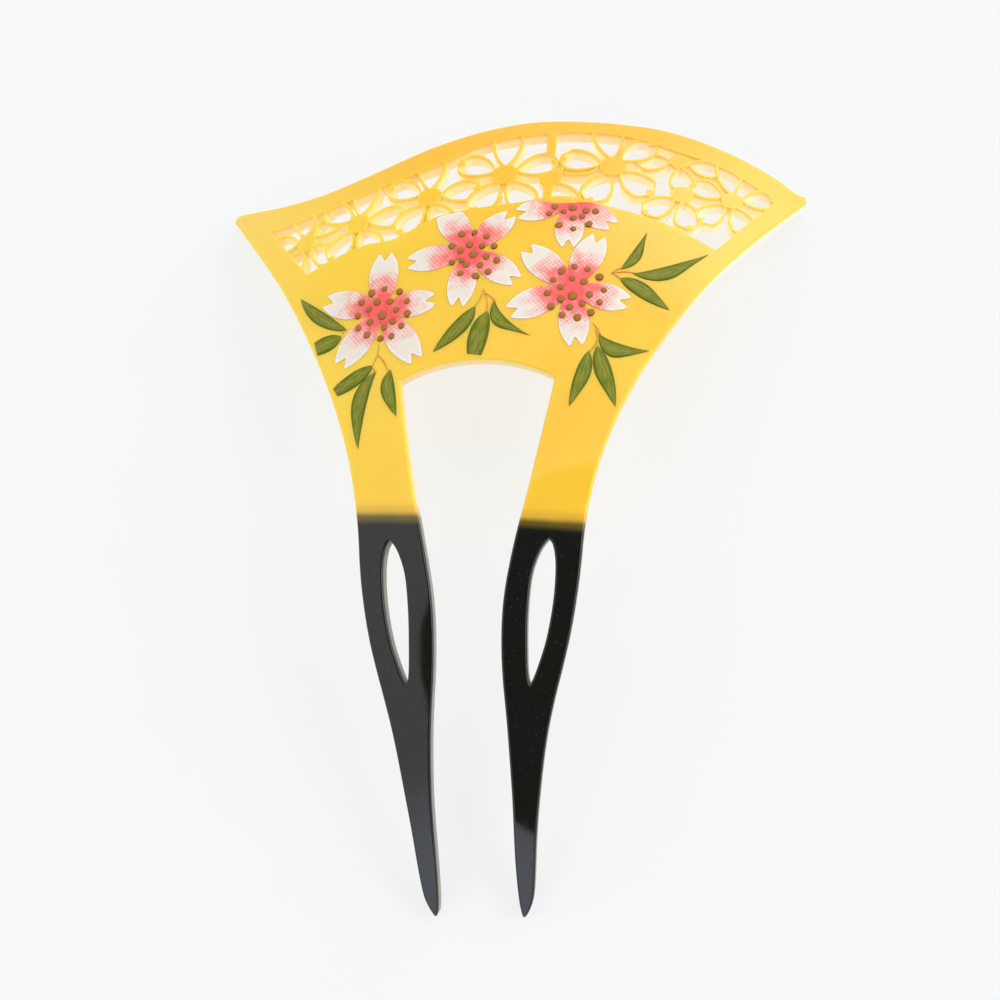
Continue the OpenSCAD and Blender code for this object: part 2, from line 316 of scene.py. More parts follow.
def joined(parts, name):
    """Joins some pieces into one with a new name."""
    only(parts[0])
    for part in parts:
        part.select_set(True)
    bpy.ops.object.join()
    piece = bpy.context.object
    piece.name = name
    return piece


# Building closed slabs with rounded edges

def inward(loop):
    """For each point of a loop, the direction into the material, longer where a corner is mitred."""
    before = loop - np.roll(loop, 1, axis=0)
    after = np.roll(loop, -1, axis=0) - loop
    ways = [unit(a) + unit(b) for a, b in zip(before, after)]
    out = []
    for way, a in zip(ways, after):
        # 1 along a straight run, and 0 where the loop folds straight back
        straightness = min(1, np.hypot(*way) / 2)
        way = unit(way) if straightness > FOLD_BACK else unit(a)
        out.append(np.array([-way[1], way[0]]) / max(straightness, MITRE_LIMIT))
    return np.array(out)


def room_inward(loops, normals):
    """For each point, the radius of the largest circle that fits in the material beside it."""
    points = np.vstack(loops)
    ways = np.vstack(normals)
    ways = ways / np.hypot(ways[:, 0], ways[:, 1])[:, None]
    rooms = np.empty(len(points))
    for first in range(0, len(points), ROOM_CHUNK):
        here = slice(first, first + ROOM_CHUNK)
        apart = points[None, :, :] - points[here, None, :]
        ahead = (apart * ways[here, None, :]).sum(axis=2)
        squares = (apart ** 2).sum(axis=2)
        fits = np.where(ahead > 1e-5, squares / np.maximum(2 * ahead, 1e-9), FREE_ROOM)
        rooms[here] = fits.min(axis=1)
    cuts = np.cumsum([len(loop) for loop in loops])[:-1]
    return np.split(rooms, cuts)


def tapered(loop, radii):
    """Radii that change gently from point to point, never above the given ones."""
    radii = radii.copy()
    steps = np.hypot(*(np.roll(loop, -1, axis=0) - loop).T)
    count = len(loop)
    for i in list(range(count)) * 2:
        radii[i] = min(radii[i], radii[i - 1] + RADIUS_SLOPE * steps[i - 1])
    for i in list(range(count - 1, -1, -1)) * 2:
        k = (i + 1) % count
        radii[i] = min(radii[i], radii[k] + RADIUS_SLOPE * steps[i])
    return radii


def edge_radii(loops, limits):
    """The radius of the rounded edge at each point of each loop, at most that loop's limit."""
    rooms = room_inward(loops, [inward(loop) for loop in loops])
    return [tapered(loop, np.minimum(limit, ROOM_SHARE * room))
            for loop, limit, room in zip(loops, limits, rooms)]


def inside(points, loops):
    """Which points lie within the loops, holes left out."""
    crossings = np.zeros(len(points), int)
    for loop in loops:
        for (x0, y0), (x1, y1) in zip(loop, np.roll(loop, -1, axis=0)):
            spans = (points[:, 1] < y0) != (points[:, 1] < y1)
            if spans.any():
                across = x0 + (points[:, 1] - y0) * (x1 - x0) / (y1 - y0 + 1e-15)
                crossings += spans & (points[:, 0] < across)
    return crossings % 2 == 1


def grid_within(loops, pitch):
    """Points of a triangular grid that lie well within the loops."""
    rims = np.vstack(loops)
    low = rims.min(axis=0)
    high = rims.max(axis=0)
    rows = []
    for r in range(int((high[1] - low[1]) / (pitch * GRID_ROW)) + 1):
        y = low[1] + r * pitch * GRID_ROW
        shift = pitch / 2 * (r % 2)
        rows += [(low[0] + shift + c * pitch, y) for c in range(int((high[0] - low[0]) / pitch) + 1)]
    points = np.array(rows)
    points = points[inside(points, loops)]
    gaps = [np.hypot(*(rims - p).T).min() for p in points]
    return points[np.array(gaps) > GRID_CLEARANCE * pitch] if len(points) else points


def cap(loops, pitch):
    """Triangles that fill the loops: the grid points added within, the faces as rows of numbers, and
    how many of those numbers stand for points of the loops."""
    grid = grid_within(loops, pitch)
    points = [Vector(p) for loop in loops for p in loop]
    rim_count = len(points)
    points += [Vector(p) for p in grid]
    edges = []
    first = 0
    for loop in loops:
        edges += [(first + i, first + (i + 1) % len(loop)) for i in range(len(loop))]
        first += len(loop)
    _, _, faces, sources, _, _ = delaunay_2d_cdt(points, edges, [], 2, 1e-7)
    merged = [source[0] if source else -1 for source in sources]
    if min(merged) < 0:
        raise ValueError("the inset loops cross: make the rounding smaller")
    faces = [[merged[i] for i in face] for face in faces]
    middles = np.array([sum((points[i] for i in face), Vector((0, 0))) / len(face) for face in faces])
    faces = [face for face, kept in zip(faces, inside(middles, loops)) if kept]
    return grid, faces, rim_count


def slab(name, loops, radii, top, bottom, back_share, pitch, arc_steps=4):
    """A closed sheet, still flat, between two heights, its edges rounded by radii at the front and a
    share of them at the back. Each vertex keeps its exact normal as facing, and as cut how far it
    has turned from the face, 0, into the cut edge, 1."""
    normals = [inward(loop) for loop in loops]
    rings = []
    for k in range(arc_steps + 1):
        angle = math.pi / 2 * k / arc_steps
        rings.append((1 - math.sin(angle), 1, 1 - math.cos(angle), angle))
    for k in range(arc_steps, -1, -1):
        angle = math.pi / 2 * k / arc_steps
        rings.append(((1 - math.sin(angle)) * back_share, -1, (1 - math.cos(angle)) * back_share, angle))
    vertices = []
    facing = []
    cut = []
    ring_loops = []
    for inset, side, drop, angle in rings:
        placed = [loop + n * (r * inset)[:, None] for loop, n, r in zip(loops, normals, radii)]
        ring_loops.append(placed)
        for loop, n, r in zip(placed, normals, radii):
            for p, way, radius in zip(loop, n, r):
                z = top - radius * drop if side > 0 else bottom + radius * drop
                vertices.append((p[0], p[1], z))
                out = unit(way) * -math.sin(angle)
                facing.append((out[0], out[1], side * math.cos(angle)))
                cut.append(math.sin(angle))
    total = sum(len(loop) for loop in loops)
    faces = []
    for ring in range(len(rings) - 1):
        first = 0
        for loop in loops:
            count = len(loop)
            for i in range(count):
                a = ring * total + first + i
                b = ring * total + first + (i + 1) % count
                faces.append((a + total, b + total, b, a))
            first += count
    for ring, z, side in ((0, top, 1), (len(rings) - 1, bottom, -1)):
        grid, filled, rim_count = cap(ring_loops[ring], pitch)
        start = len(vertices)
        vertices += [(p[0], p[1], z) for p in grid]
        facing += [(0, 0, side)] * len(grid)
        cut += [0] * len(grid)
        for face in filled:
            numbers = [ring * total + i if i < rim_count else start + i - rim_count for i in face]
            faces.append(numbers if side > 0 else numbers[::-1])
    mesh = bpy.data.meshes.new(name)
    mesh.from_pydata([Vector(v) * MM for v in vertices], [], faces)
    mesh.attributes.new("facing", "FLOAT_VECTOR", "POINT").data.foreach_set("vector", np.ravel(facing))
    mesh.attributes.new("cut", "FLOAT", "POINT").data.foreach_set("value", cut)
    piece = bpy.data.objects.new(name, mesh)
    bpy.context.collection.objects.link(piece)
    only(piece)
    bpy.ops.object.mode_set(mode="EDIT")
    bpy.ops.mesh.select_all(action="SELECT")
    bpy.ops.mesh.remove_doubles(threshold=WELD * MM)
    bpy.ops.object.mode_set(mode="OBJECT")
    return piece


# Laying flat pieces on the dome

def lay_on_dome(piece):
    """Bends a flat piece onto the dome, and keeps where each vertex was as the pattern attribute."""
    mesh = piece.data
    count = len(mesh.vertices)
    flat = np.empty(count * 3)
    mesh.vertices.foreach_get("co", flat)
    flat = flat.reshape(-1, 3) / MM
    mesh.attributes.new("pattern", "FLOAT_VECTOR", "POINT").data.foreach_set("vector", flat.ravel())
    reach = np.maximum(np.hypot(flat[:, 0], flat[:, 1]), 1e-9)
    angle = reach / DOME_R
    across = flat[:, :2] / reach[:, None]
    up = np.column_stack([across * np.sin(angle)[:, None], np.cos(angle)])
    placed = np.array(DOME_MIDDLE) + up * (DOME_R + flat[:, 2])[:, None]
    mesh.vertices.foreach_set("co", (placed * MM).ravel())
    mesh.update()
    if "facing" in mesh.attributes:
        facing = np.empty(count * 3)
        mesh.attributes["facing"].data.foreach_get("vector", facing)
        facing = facing.reshape(-1, 3)
        along = (facing[:, :2] * across).sum(axis=1)
        beside = facing[:, 1] * across[:, 0] - facing[:, 0] * across[:, 1]
        slope = np.column_stack([across * np.cos(angle)[:, None], -np.sin(angle)])
        side = np.column_stack([-across[:, 1], across[:, 0], np.zeros(count)])
        turned = along[:, None] * slope + beside[:, None] * side + facing[:, 2:] * up
        mesh.attributes.remove(mesh.attributes["facing"])
        mesh.shade_smooth()
        mesh.normals_split_custom_set_from_vertices(turned.tolist())
    return piece


def finish(piece, material, node=None):
    """Gives a piece its material and slot, and lets it ride on the ornament."""
    piece.data.materials.clear()
    piece.data.materials.append(material)
    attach(piece, "root")
    if node:
        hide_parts(node)
    return piece


# Shader helpers

def new_material(name):
    material = bpy.data.materials.new(name)
    material.use_nodes = True
    tree = material.node_tree
    return material, tree, tree.nodes["Principled BSDF"]


def put(tree, socket, value):
    """Links a socket to a socket, or sets it."""
    if isinstance(value, bpy.types.NodeSocket):
        tree.links.new(value, socket)
    elif value is not None:
        socket.default_value = value


def node(tree, kind, inputs=(), **settings):
    """A new node with its settings and inputs."""
    made = tree.nodes.new(kind)
    for name, value in settings.items():
        setattr(made, name, value)
    for key, value in dict(inputs).items():
        put(tree, made.inputs[key], value)
    return made


def attribute(tree, name, output):
    return node(tree, "ShaderNodeAttribute", attribute_name=name).outputs[output]


def maths(tree, operation, a, b=None, c=None):
    made = node(tree, "ShaderNodeMath", operation=operation)
    for socket, value in zip(made.inputs, (a, b, c)):
        put(tree, socket, value)
    return made.outputs[0]


def fade(tree, value, low, high):
    """A smooth step from 0 to 1 while the value goes from low to high, which may be the smaller."""
    made = node(tree, "ShaderNodeMapRange", {"Value": value, "From Min": low, "From Max": high},
                interpolation_type="SMOOTHSTEP")
    return made.outputs["Result"]


def noise(tree, vector, scale, detail=2.0, roughness=0.5, stretch=None):
    """Noise from 0 to 1, stretched by a size along each axis if wanted."""
    if stretch:
        vector = node(tree, "ShaderNodeMapping", {"Vector": vector, "Scale": stretch}).outputs[0]
    made = node(tree, "ShaderNodeTexNoise", {"Vector": vector, "Scale": scale, "Detail": detail,
                                             "Roughness": roughness})
    return made.outputs["Fac"]


def blend(tree, share, a, b, mode="MIX"):
    made = node(tree, "ShaderNodeMix", data_type="RGBA", blend_type=mode)
    put(tree, made.inputs["Factor"], share)
    for key, colour in (("A", a), ("B", b)):
        put(tree, made.inputs[key], (*colour, 1) if isinstance(colour, tuple) else colour)
    return made.outputs["Result"]


def ramp(tree, value, stops):
    made = node(tree, "ShaderNodeValToRGB", {"Fac": value})
    band = made.color_ramp
    band.interpolation = "EASE"
    while len(band.elements) < len(stops):
        band.elements.new(0.5)
    for element, (place, colour) in zip(band.elements, stops):
        element.position = place
        element.color = (*colour, 1)
    return made.outputs["Color"]


def bump(tree, shader, height, distance):
    made = node(tree, "ShaderNodeBump", {"Height": height, "Distance": distance, "Strength": 1})
    tree.links.new(made.outputs["Normal"], shader.inputs["Normal"])


# Colours of the acrylic: its cloudy amber, along the rim, and painted light on the left and at the wings
AMBER = (0.94, 0.58, 0.038)
AMBER_CLOUD = (0.97, 0.63, 0.055)
AMBER_RIM = (0.93, 0.535, 0.030)
AMBER_LEFT_PAINTED_LIGHT = (0.99, 0.68, 0.055)
AMBER_WING_PAINTED_LIGHT = (0.98, 0.68, 0.085)
# Its cut walls, frosted and made paler with painted light: at the arch and legs, in the openwork, at the
# openwork's right end, and a painted grey reflection on the dyed walls
WALL_FROSTED_AND_LIT = (0.98, 0.72, 0.38)
WALL_OPENWORK_FROSTED_AND_LIT = (0.98, 0.765, 0.45)
WALL_RIGHT_FROSTED_AND_LIT = (0.99, 0.84, 0.64)
WALL_DYED_REFLECTION = (0.33, 0.32, 0.26)
# Painted glow of the openwork's walls, which are no lamp: its colour and strength
GLOW = (1.0, 0.76, 0.48, 1)
GLOW_STRENGTH = 0.14
# Dye: how it tints the amber from its start to full depth, and where those are, in mm up
DYE_TINTS = [(0, (1, 1, 1)), (0.3, (0.8, 0.78, 1)), (0.62, (0.16, 0.17, 0.4)),
             (0.9, (0.011, 0.018, 0.2)), (1, (0.010, 0.017, 0.17))]
DYE_START = -6.8
DYE_FULL = -12.3
# How far the dye's line falls for each mm to the right, and how far it wanders, in mm
DYE_SLOPE = 0.052
DYE_WANDER = 0.9
# Specks of dust on the dyed legs
SPECK = (0.5, 0.48, 0.44)

# Colours of the petals: their ground, its paler patches, their rim, and the ink
CREAM = (0.82, 0.74, 0.61)
CREAM_PALE = (0.88, 0.815, 0.73)
PETAL_RIM = (0.92, 0.86, 0.865)
CORAL = (0.98, 0.135, 0.125)
CORAL_DEEP = (0.93, 0.09, 0.10)
# Halftone: dots to each mm, the slant of their rows in degrees, and the wash between them
DOTS_PER_MM = 1.8
DOT_SLANT = 49
DOT_WASH = 0.6
# Distances from the middle of a blossom at which the ink ends and is full, in mm
INK_END = 8.6
INK_FULL = 1.4

# Stamens' heads from foot to top, leaves, and stems
HEAD_TINTS = [(0, (0.25, 0.06, 0.012)), (0.5, (0.43, 0.145, 0.018)), (1, (0.39, 0.16, 0.025))]
LEAF_GREEN = (0.13, 0.17, 0.008)
LEAF_STROKE = (0.28, 0.285, 0.028)
LEAF_EDGE = (0.065, 0.12, 0.005)
LEAF_RIB = (0.34, 0.27, 0.085)
STEM_DARK = (0.62, 0.27, 0.04)
STEM_LIGHT = (0.78, 0.42, 0.05)


# Materials

def acrylic_material():
    """Amber acrylic, polished, with a soft dye line, black legs, fine wear, and painted light: lighter wings
    and left side, cut walls that are frosted and made paler and glowing, and a painted grey reflection on
    the dyed walls.
    """
    material, tree, shader = new_material("amber_acrylic")
    pattern = attribute(tree, "pattern", "Vector")
    split = node(tree, "ShaderNodeSeparateXYZ", {"Vector": pattern})
    across, up, depth = split.outputs["X"], split.outputs["Y"], split.outputs["Z"]
    wall = fade(tree, attribute(tree, "cut", "Fac"), 0.8, 1)
    # Painted light: the cut walls grow paler from the front edge down to half the sheet's thickness, as if
    # the bright ground shone through them
    pale = maths(tree, "MULTIPLY", wall, fade(tree, depth, 0.1, -0.5 * SHEET_T))
    # Depth of the dye: 0 above the line and 1 where it is fully black
    wander = noise(tree, pattern, 0.13, 1)
    line = maths(tree, "MULTIPLY_ADD", across, DYE_SLOPE, up)
    line = maths(tree, "MULTIPLY_ADD", wander, DYE_WANDER, line)
    dye = fade(tree, line, DYE_START, DYE_FULL)
    cloud = noise(tree, pattern, 0.05, 2)
    amber = blend(tree, fade(tree, cloud, 0.35, 0.65), AMBER, AMBER_CLOUD)
    # The rim of the fan is deeper in tone, and the left side below it is lighter with painted light
    amber = blend(tree, fade(tree, up, 36, 58), amber, AMBER_RIM)
    lighter = maths(tree, "MULTIPLY", fade(tree, across, 6, -24), fade(tree, up, 60, 34))
    amber = blend(tree, maths(tree, "MULTIPLY", lighter, 0.8), amber, AMBER_LEFT_PAINTED_LIGHT)
    # Painted light: both sides grow lighter towards the ends of the wings, as if lit more strongly there
    wings = fade(tree, maths(tree, "ABSOLUTE", across), 20, 44)
    amber = blend(tree, maths(tree, "MULTIPLY", wings, 0.6), amber, AMBER_WING_PAINTED_LIGHT)
    # Painted light: the walls of the openwork are paler than those of the arch and the legs, and palest at
    # the right end, where more light falls
    openwork = fade(tree, up, 18, 32)
    milky_and_lit = blend(tree, fade(tree, across, 8, 30), WALL_OPENWORK_FROSTED_AND_LIT, WALL_RIGHT_FROSTED_AND_LIT)
    milky_and_lit = blend(tree, openwork, WALL_FROSTED_AND_LIT, milky_and_lit)
    amber = blend(tree, pale, amber, milky_and_lit)
    colour = blend(tree, 1.0, amber, ramp(tree, dye, DYE_TINTS), "MULTIPLY")
    specks = noise(tree, pattern, 4.5, 0)
    specks = maths(tree, "MULTIPLY", fade(tree, specks, 0.80, 0.84), dye)
    colour = blend(tree, maths(tree, "MULTIPLY", specks, 0.25), colour, SPECK)
    # Painted reflection: the dyed walls turn grey as if they mirrored the bright room round them
    dyed_wall_reflection = maths(tree, "MULTIPLY", maths(tree, "MULTIPLY", pale, dye), 0.8)
    colour = blend(tree, dyed_wall_reflection, colour, WALL_DYED_REFLECTION)
    put(tree, shader.inputs["Base Color"], colour)
    scratches = noise(tree, pattern, 1.0, 3, 0.6, (0.3, 5, 1))
    smears = noise(tree, pattern, 0.18, 2)
    gloss = maths(tree, "MULTIPLY_ADD", fade(tree, scratches, 0.55, 0.75), 0.03, 0.04)
    gloss = maths(tree, "MULTIPLY_ADD", smears, 0.02, gloss)
    gloss = maths(tree, "MULTIPLY_ADD", wall, 0.3, gloss)
    put(tree, shader.inputs["Roughness"], gloss)
    shader.inputs["IOR"].default_value = 1.49
    shader.inputs["Subsurface Weight"].default_value = 0.6
    shader.inputs["Subsurface Radius"].default_value = (1.0, 0.7, 0.25)
    shader.inputs["Subsurface Scale"].default_value = 1.6 * MM
    shader.inputs["Emission Color"].default_value = GLOW
    # Painted glow: the openwork's walls give off a faint light of their own, standing in for light scattered
    # through the acrylic
    painted_glow = maths(tree, "MULTIPLY", openwork, pale)
    put(tree, shader.inputs["Emission Strength"], maths(tree, "MULTIPLY", painted_glow, GLOW_STRENGTH))
    waves = noise(tree, pattern, 0.12, 1)
    fine = noise(tree, pattern, 14, 2)
    height = maths(tree, "MULTIPLY_ADD", maths(tree, "MULTIPLY", fine, wall), 0.4, waves)
    bump(tree, shader, height, 0.03 * MM)
    return material


def petal_material():
    """Off-white lacquer with a white rim, printed with a screen of coral dots that thickens to coral."""
    material, tree, shader = new_material("petal_lacquer")
    bloom = attribute(tree, "bloom", "Vector")
    pattern = attribute(tree, "pattern", "Vector")
    rim = attribute(tree, "rim", "Fac")
    reach = node(tree, "ShaderNodeVectorMath", {0: bloom}, operation="LENGTH").outputs["Value"]
    turned = node(tree, "ShaderNodeMapping", {"Vector": pattern, "Rotation": (0, 0, math.radians(DOT_SLANT)),
                                              "Scale": (DOTS_PER_MM, DOTS_PER_MM, 1)}).outputs[0]
    split = node(tree, "ShaderNodeSeparateXYZ", {"Vector": turned})
    wave_a = maths(tree, "COSINE", maths(tree, "MULTIPLY", split.outputs["X"], math.tau))
    wave_b = maths(tree, "COSINE", maths(tree, "MULTIPLY", split.outputs["Y"], math.tau))
    screen = maths(tree, "MULTIPLY_ADD", maths(tree, "ADD", wave_a, wave_b), 0.25, 0.5)
    patches = noise(tree, pattern, 0.42, 2, 0.55)
    # The ink ends up to 1.1 mm nearer or further
    wobbled = maths(tree, "ADD", reach, 1.1)
    wobbled = maths(tree, "MULTIPLY_ADD", fade(tree, patches, 0.3, 0.7), -2.2, wobbled)
    cover = fade(tree, wobbled, INK_END, INK_FULL)
    # At full cover the dots run together and leave no gaps
    edge = maths(tree, "MULTIPLY_ADD", cover, -1.2, 1.0)
    dots = fade(tree, maths(tree, "SUBTRACT", screen, edge), -0.2, 0.2)
    dots = maths(tree, "MULTIPLY", dots, fade(tree, cover, 0.02, 0.2))
    # A thin wash of the same ink lies between the dots
    dots = maths(tree, "MULTIPLY_ADD", maths(tree, "SUBTRACT", cover, dots), DOT_WASH, dots)
    cream = blend(tree, noise(tree, pattern, 0.8, 3), CREAM, CREAM_PALE)
    cream = blend(tree, fade(tree, rim, 0.25, 0.9), PETAL_RIM, cream)
    coral = blend(tree, fade(tree, noise(tree, pattern, 1.1, 3), 0.4, 0.7), CORAL, CORAL_DEEP)
    put(tree, shader.inputs["Base Color"], blend(tree, dots, cream, coral))
    matt = noise(tree, pattern, 2.5, 2)
    put(tree, shader.inputs["Roughness"], maths(tree, "MULTIPLY_ADD", matt, 0.2, 0.28))
    shader.inputs["Specular IOR Level"].default_value = 0.3
    grain = maths(tree, "MULTIPLY_ADD", dots, 0.35, noise(tree, pattern, 5, 3))
    bump(tree, shader, grain, 0.015 * MM)
    return material


def head_material():
    """Brown-gold lacquer of the stamens' heads, redder and darker at the foot."""
    material, tree, shader = new_material("stamen_lacquer")
    pattern = attribute(tree, "pattern", "Vector")
    height = node(tree, "ShaderNodeSeparateXYZ", {"Vector": pattern}).outputs["Z"]
    grain = noise(tree, pattern, 3, 2)
    top = maths(tree, "MULTIPLY_ADD", grain, 0.06, height)
    put(tree, shader.inputs["Base Color"], ramp(tree, fade(tree, top, 0.2, 0.4), HEAD_TINTS))
    shader.inputs["Specular IOR Level"].default_value = 0.25
    put(tree, shader.inputs["Roughness"], maths(tree, "MULTIPLY_ADD", grain, 0.2, 0.35))
    bump(tree, shader, noise(tree, pattern, 7, 2), 0.02 * MM)
    return material


def leaf_material():
    """Leaf-green lacquer brushed along the leaf, with a brown midrib and darker edges."""
    material, tree, shader = new_material("leaf_lacquer")
    pattern = attribute(tree, "pattern", "Vector")
    leaf = attribute(tree, "leaf", "Vector")
    split = node(tree, "ShaderNodeSeparateXYZ", {"Vector": leaf})
    beside = split.outputs["Y"]
    strokes = noise(tree, leaf, 1.0, 3, 0.6, (2.2, 9, 5))
    streaks = noise(tree, leaf, 1.0, 2, 0.5, (1.6, 16, 7))
    green = blend(tree, fade(tree, strokes, 0.32, 0.66), LEAF_GREEN, LEAF_STROKE)
    middle = maths(tree, "ABSOLUTE", maths(tree, "SUBTRACT", beside, 0.5))
    edge = fade(tree, maths(tree, "MULTIPLY_ADD", streaks, 0.2, middle), 0.36, 0.56)
    green = blend(tree, maths(tree, "MULTIPLY", edge, 0.85), green, LEAF_EDGE)
    rib = fade(tree, maths(tree, "MULTIPLY_ADD", streaks, 0.16, middle), 0.17, 0.08)
    rib = maths(tree, "MULTIPLY", rib, fade(tree, noise(tree, leaf, 1.0, 1, 0.5, (3, 2, 9)), 0.35, 0.55))
    rib = maths(tree, "MULTIPLY", rib, 0.75)
    put(tree, shader.inputs["Base Color"], blend(tree, rib, green, LEAF_RIB))
    put(tree, shader.inputs["Roughness"], maths(tree, "MULTIPLY_ADD", strokes, 0.25, 0.3))
    shader.inputs["Specular IOR Level"].default_value = 0.16
    height = maths(tree, "MULTIPLY_ADD", rib, 0.5, strokes)
    bump(tree, shader, height, 0.03 * MM)
    return material


def stem_material():
    """Thin brown lacquer line."""
    material, tree, shader = new_material("stem_lacquer")
    pattern = attribute(tree, "pattern", "Vector")
    tone = fade(tree, noise(tree, pattern, 1.2, 2), 0.3, 0.7)
    put(tree, shader.inputs["Base Color"], blend(tree, tone, STEM_DARK, STEM_LIGHT))
    shader.inputs["Roughness"].default_value = 0.4
    return material


# Pieces

def make_sheet():
    """The whole acrylic sheet, with its outline, slots and openwork as they are in the frame."""
    loops = []
    limits = []
    for loop in drawn_loops("sheet"):
        pierced = loop[:, 1].min() > PIERCED_FOOT
        loops.append(smoothed(loop, PIERCED_STEP if pierced else RIM_STEP))
        limits.append(PIERCED_ROUND if pierced else FRONT_ROUND)
    radii = edge_radii(loops, limits)
    piece = slab("acrylic_sheet", loops, radii, 0, -SHEET_T, BACK_ROUND / FRONT_ROUND, FACE_GRID)
    return finish(lay_on_dome(piece), acrylic_material(), "sheet")


def make_petals(name, centre, material):
    """The petals of one blossom as one raised patch, with the distance to its rim on each vertex."""
    loops = [softened(smoothed(loop, PETAL_STEP), TOOTH_STEP, TOOTH_PASSES) for loop in drawn_loops(name)]
    radii = edge_radii(loops, [LACQUER_ROUND] * len(loops))
    piece = slab(name.replace("blossom", "petals"), loops, radii, LACQUER_FILM + LACQUER_T, LACQUER_FILM,
                 LACQUER_BACK_SHARE, PETAL_GRID, LACQUER_ARC_STEPS)
    mesh = piece.data
    flat = np.array([v.co.xy / MM for v in mesh.vertices])
    rims = np.vstack(loops)
    near = [min(1, float(np.hypot(*(rims - p).T).min()) / WHITE_RIM) for p in flat]
    mesh.attributes.new("rim", "FLOAT", "POINT").data.foreach_set("value", near)
    bloom = np.column_stack([flat - np.array(centre), np.zeros(len(flat))])
    mesh.attributes.new("bloom", "FLOAT_VECTOR", "POINT").data.foreach_set("vector", bloom.ravel())
    return finish(lay_on_dome(piece), material, name)


def head_model():
    """One stamen's head: a low button of lacquer, 1 mm across before it is scaled."""
    bpy.ops.object.select_all(action="DESELECT")
    bpy.ops.mesh.primitive_circle_add(vertices=HEAD_SIDES, radius=0.5 * MM, fill_type="NGON")
    model = bpy.context.object
    bpy.ops.object.mode_set(mode="EDIT")
    bpy.ops.mesh.select_all(action="SELECT")
    bpy.ops.mesh.extrude_region_move(TRANSFORM_OT_translate={"value": (0, 0, HEAD_FOOT * MM)})
    for inset, rise in HEAD_TOP:
        bpy.ops.mesh.inset(thickness=inset * MM)
        bpy.ops.transform.translate(value=(0, 0, rise * MM))
    bpy.ops.mesh.select_all(action="SELECT")
    bpy.ops.mesh.normals_make_consistent(inside=False)
    bpy.ops.object.mode_set(mode="OBJECT")
    return model


def make_heads(model, name, centre, heads, material):
    """The stamens' heads of one blossom, copied from the model and joined."""
    copies = []
    for i, (x, y) in enumerate(heads):
        copy = bpy.data.objects.new(f"{name}_{i}", model.data.copy())
        bpy.context.collection.objects.link(copy)
        # Each head differs a little in its size, its length and its turn
        size = 2 * (HEAD_R if i else MIDDLE_HEAD_R) * (1 + 0.12 * math.sin(5 * i + centre[0]))
        shape = Matrix.Diagonal((size, size * (HEAD_LENGTH + 0.05 * math.sin(3 * i)), 1, 1))
        turn = Matrix.Rotation(0.3 * math.sin(1.3 * i), 4, "Z")
        place = Matrix.Translation(Vector((centre[0] + x, centre[1] + y, 0)) * MM)
        copy.data.transform(place @ turn @ shape)
        copies.append(copy)
    piece = joined(copies, name)
    piece.data.shade_smooth()
    return finish(lay_on_dome(piece), material)


def leaf_mesh(root, tip, left, right, share, tail, number):
    """One raised leaf: a grid shaped between its two bulges and closed underneath."""
    bpy.ops.object.select_all(action="DESELECT")
    bpy.ops.mesh.primitive_grid_add(x_subdivisions=LEAF_ALONG, y_subdivisions=LEAF_ACROSS, size=2)
    leaf = bpy.context.object
    root, tip = Vector(root), Vector(tip)
    way = tip - root
    across = Vector((-way.y, way.x)).normalized()
    own = []
    for vertex in leaf.data.vertices:
        s = 0.5 - 0.5 * math.cos(math.pi * (vertex.co.x + 1) / 2)
        v = 0.5 - 0.5 * math.cos(math.pi * (vertex.co.y + 1) / 2)
        t = s * share
        swell = 4 * t * (1 - t) * (1 + ROOT_SWELL * (1 - t) ** 4)
        narrowed = min(1, max(0, ((t if tail > 0 else 1 - t) - TAIL_FROM) / TAIL_LENGTH))
        width = swell * (left + right) * (1 - abs(tail) * narrowed ** 2 * (3 - 2 * narrowed))
        # The side that bulges more comes in, and the other stays
        beside = swell * left - (1 - v) * width if right > left else v * width - swell * right
        place = root + way * t + across * beside
        gap = min(v, 1 - v) * width
        if share < 1:
            gap = min(gap, (1 - s) * share * way.length)
        rise = min(1, gap / LEAF_ROUND)
        height = LACQUER_T * math.sqrt(1 - (1 - rise) ** 2)
        vertex.co = Vector((place.x, place.y, LACQUER_FILM + height)) * MM
        own += [t * way.length / LEAF_PATTERN, v, number]
    leaf.data.attributes.new("leaf", "FLOAT_VECTOR", "POINT").data.foreach_set("vector", own)
    bpy.ops.object.mode_set(mode="EDIT")
    bpy.ops.mesh.select_all(action="SELECT")
    bpy.ops.mesh.remove_doubles(threshold=WELD * MM)
    bpy.ops.mesh.select_all(action="DESELECT")
    bpy.ops.mesh.select_non_manifold()
    bpy.ops.mesh.extrude_edges_move(TRANSFORM_OT_translate={"value": (0, 0, -LACQUER_FILM * MM)})
    bpy.ops.mesh.edge_face_add()
    bpy.ops.mesh.select_all(action="SELECT")
    bpy.ops.mesh.normals_make_consistent(inside=False)
    bpy.ops.object.mode_set(mode="OBJECT")
    return leaf


def make_leaves(name, leaves, material):
    """The leaves of one spray as one piece. Each has a number in it, which picks its strokes."""
    parts = [leaf_mesh(*row, number) for number, row in enumerate(leaves, len(name))]
    piece = joined(parts, name.replace("leaves", "foliage"))
    only(piece)
    bpy.ops.object.shade_smooth_by_angle(angle=math.radians(LEAF_SHARP))
    return finish(lay_on_dome(piece), material, name)


